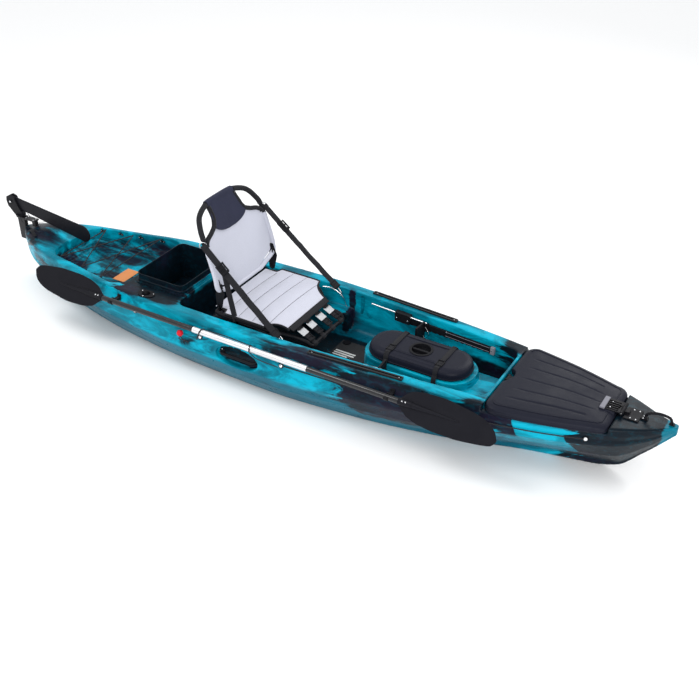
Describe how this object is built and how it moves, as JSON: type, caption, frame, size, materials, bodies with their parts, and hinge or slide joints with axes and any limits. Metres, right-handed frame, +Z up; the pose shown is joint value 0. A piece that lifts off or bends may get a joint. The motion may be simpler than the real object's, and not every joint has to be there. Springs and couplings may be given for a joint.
{
  "type": "fishing kayak",
  "caption": "Sit-on-top fishing kayak with a framed seat, side paddle, console pod, bow hatch, rear bin, foot braces and a stern rudder.",
  "frame": {"origin": "on the flat of the keel, at mid length and mid beam", "axes": "+X towards the bow, +Y to port, +Z up"},
  "size_m": [4.071, 0.877, 0.8695],
  "materials": {
    "moulded_teal": "rotomoulded, satin",
    "black_plastic": "moulded, fine grain",
    "lid_plastic": "moulded, fine grain",
    "black_rubber": "matt",
    "bare_aluminium": "satin",
    "black_anodised": "black anodised",
    "stainless_steel": "bright",
    "grey_mesh_cloth": "woven mesh",
    "navy_cloth": "woven",
    "black_webbing": "woven",
    "black_cord": "braided",
    "red_plastic": "moulded"
  },
  "bodies": {
    "hull": {"hull": "moulded_teal", "bow_handle": "black_plastic", "stern_handle": "black_webbing", "side_grip_port": "black_plastic", "side_grip_starboard": "black_plastic", "rear_bin": "moulded_teal", "console_pod": "black_plastic", "gear_track_port": "black_anodised", "gear_track_starboard": "black_anodised", "foot_rail_port": "black_plastic", "foot_rail_starboard": "black_plastic", "rod_holder_port": "black_plastic", "rod_holder_starboard": "black_plastic", "scupper_plug_port": "black_plastic", "scupper_plug_starboard": "black_plastic", "paddle_clip_aft": "black_plastic", "paddle_clip_forward": "black_plastic", "keeper_ball": "red_plastic", "keeper_cord": "black_cord", "deck_line_port": "black_cord", "deck_line_starboard": "black_cord", "well_bungee": "black_cord", "rudder_bracket": "bare_aluminium", "rudder_cable_port": "black_cord", "rudder_cable_starboard": "black_cord", "bow_hatch_hinge": "black_plastic", "bow_hatch_pin": "stainless_steel", "bow_hatch_latch_base": "black_plastic", "bow_hatch_seal": "black_rubber"},
    "bow_hatch": {"bow_hatch_lid": "lid_plastic", "bow_hatch_strap": "black_plastic"},
    "bow_hatch_latch": {"bow_hatch_latch": "black_plastic"},
    "console_lid": {"console_lid": "lid_plastic", "console_strap_aft": "black_webbing", "console_strap_forward": "black_webbing"},
    "console_cap": {"console_cap": "black_plastic"},
    "seat": {"seat_base_frame": "black_plastic", "seat_pan": "grey_mesh_cloth", "seat_lacing": "black_webbing", "seat_strap_port": "black_webbing", "seat_strap_starboard": "black_webbing", "seat_buckle_port": "black_plastic", "seat_buckle_starboard": "black_plastic", "seat_hook_port": "stainless_steel", "seat_hook_starboard": "stainless_steel"},
    "seat_back": {"seat_back_frame": "black_plastic", "seat_back_panel": "grey_mesh_cloth", "seat_headrest": "navy_cloth"},
    "pedal_port": {"foot_pedal_port": "black_plastic", "foot_rod_port": "bare_aluminium"},
    "pedal_starboard": {"foot_pedal_starboard": "black_plastic", "foot_rod_starboard": "bare_aluminium"},
    "paddle": {"paddle_blade_aft": "black_plastic", "paddle_blade_forward": "black_plastic", "paddle_centre_tube": "bare_aluminium", "paddle_shaft_aft": "black_plastic", "paddle_shaft_forward": "black_plastic", "paddle_leash": "black_cord"},
    "rudder_head": {"rudder_head": "black_plastic"},
    "rudder_blade": {"rudder_blade": "lid_plastic"}
  },
  "joints": [
    {"name": "bow_hatch_hinge", "type": "hinge", "parent": "hull", "child": "bow_hatch", "pos_m": [1.727, 0, 0.3466], "axis": [0, 1, 0], "range_deg": [0, 100]},
    {"name": "bow_hatch_latch_turn", "type": "hinge", "parent": "hull", "child": "bow_hatch_latch", "pos_m": [1.166, 0, 0.3136], "axis": [0, -1, 0], "range_deg": [0, 90]},
    {"name": "console_lid_lift", "type": "slide", "parent": "hull", "child": "console_lid", "axis": [0, 0, 1], "range_m": [0, 0.25]},
    {"name": "console_cap_turn", "type": "hinge", "parent": "console_lid", "child": "console_cap", "pos_m": [0.705, 0, 0.3166], "axis": [0, 0, 1], "range_deg": [0, 90]},
    {"name": "seat_lift", "type": "slide", "parent": "hull", "child": "seat", "axis": [0, 0, 1], "range_m": [0, 0.3]},
    {"name": "seat_back_fold", "type": "hinge", "parent": "seat", "child": "seat_back", "pos_m": [-0.345, 0, 0.372], "axis": [0, 1, 0], "range_deg": [0, 75]},
    {"name": "paddle_lift", "type": "slide", "parent": "hull", "child": "paddle", "axis": [0, 0, 1], "range_m": [0, 0.3]},
    {"name": "rudder_steer", "type": "hinge", "parent": "hull", "child": "rudder_head", "pos_m": [-2.01, 0, 0.3588], "axis": [0, 0, 1], "range_deg": [-35, 35]},
    {"name": "rudder_blade_swing", "type": "hinge", "parent": "rudder_head", "child": "rudder_blade", "pos_m": [-2.06, 0, 0.445], "axis": [0, -1, 0], "range_deg": [0, 250]},
    {"name": "pedal_port_slide", "type": "slide", "parent": "hull", "child": "pedal_port", "axis": [0.9971, -0.0756, 0], "range_m": [-0.06, 0.06]},
    {"name": "pedal_starboard_slide", "type": "slide", "parent": "hull", "child": "pedal_starboard", "axis": [0.9971, 0.0756, 0], "range_m": [-0.06, 0.06]}
  ],
  "couplings": [
    {"joint": "pedal_port_slide", "follows": "rudder_steer", "m_per_rad": -0.09},
    {"joint": "pedal_starboard_slide", "follows": "rudder_steer", "m_per_rad": 0.09}
  ]
}
